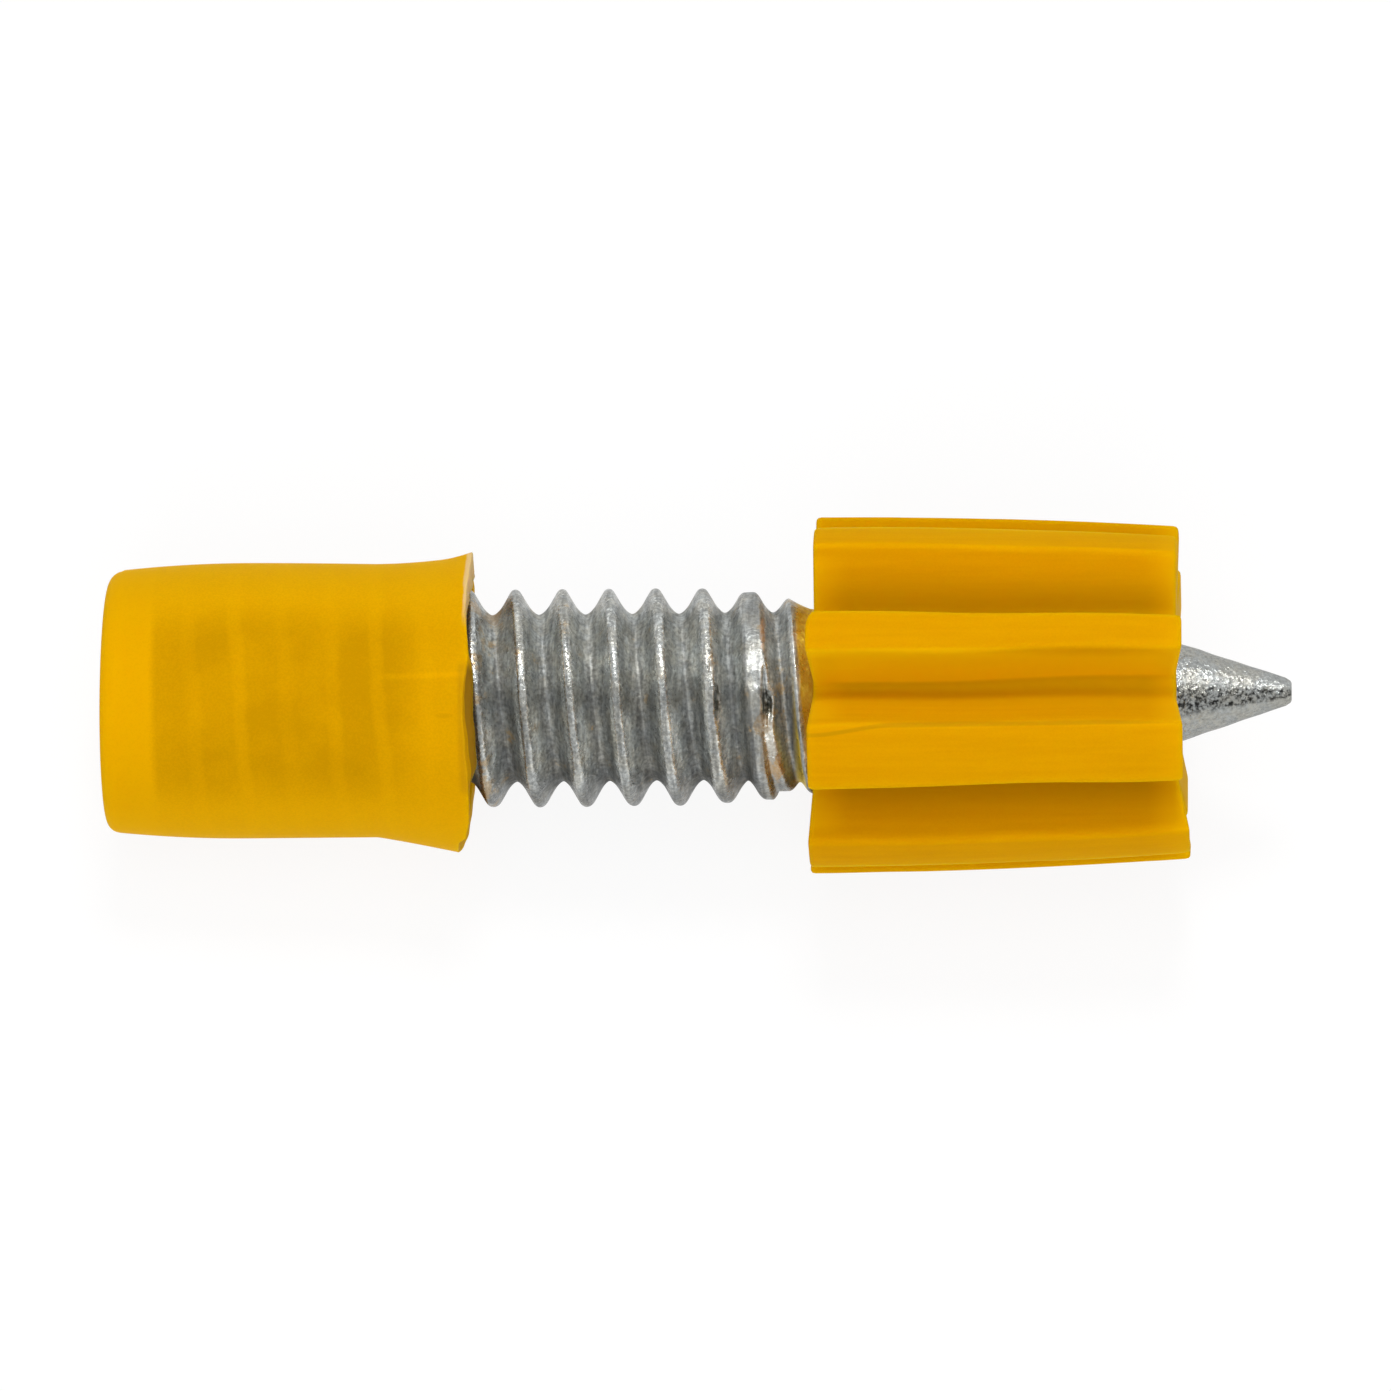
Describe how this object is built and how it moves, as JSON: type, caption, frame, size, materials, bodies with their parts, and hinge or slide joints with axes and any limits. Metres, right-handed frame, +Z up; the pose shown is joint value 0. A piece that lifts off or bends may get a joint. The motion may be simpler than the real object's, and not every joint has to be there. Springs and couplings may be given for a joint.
{
  "type": "threaded drive stud",
  "caption": "Threaded steel stud with a blunt drive point, a ribbed plastic guide sleeve on its shank and a flared plastic cap over the end of its thread.",
  "frame": {"origin": "on the stud's axis at the shoulder, where the thread ends and the guide sleeve begins", "axes": "+X level along the stud towards its point, +Z up; the stud lies at rest, so its own axis rises 3.5 degrees above +X towards the point"},
  "size_m": [0.0322, 0.0096, 0.0099],
  "materials": {
    "zinc_steel": "zinc coated, satin",
    "cap_plastic": "satin",
    "guide_plastic": "satin"
  },
  "bodies": {
    "stud_body": {"threaded_stud": "zinc_steel", "guide_sleeve": "guide_plastic"},
    "cap": {"thread_cap": "cap_plastic"}
  },
  "joints": [
    {"name": "cap_pull", "type": "slide", "parent": "stud_body", "child": "cap", "axis": [-0.9981, 0, -0.0608], "range_m": [0, 0.01]}
  ]
}
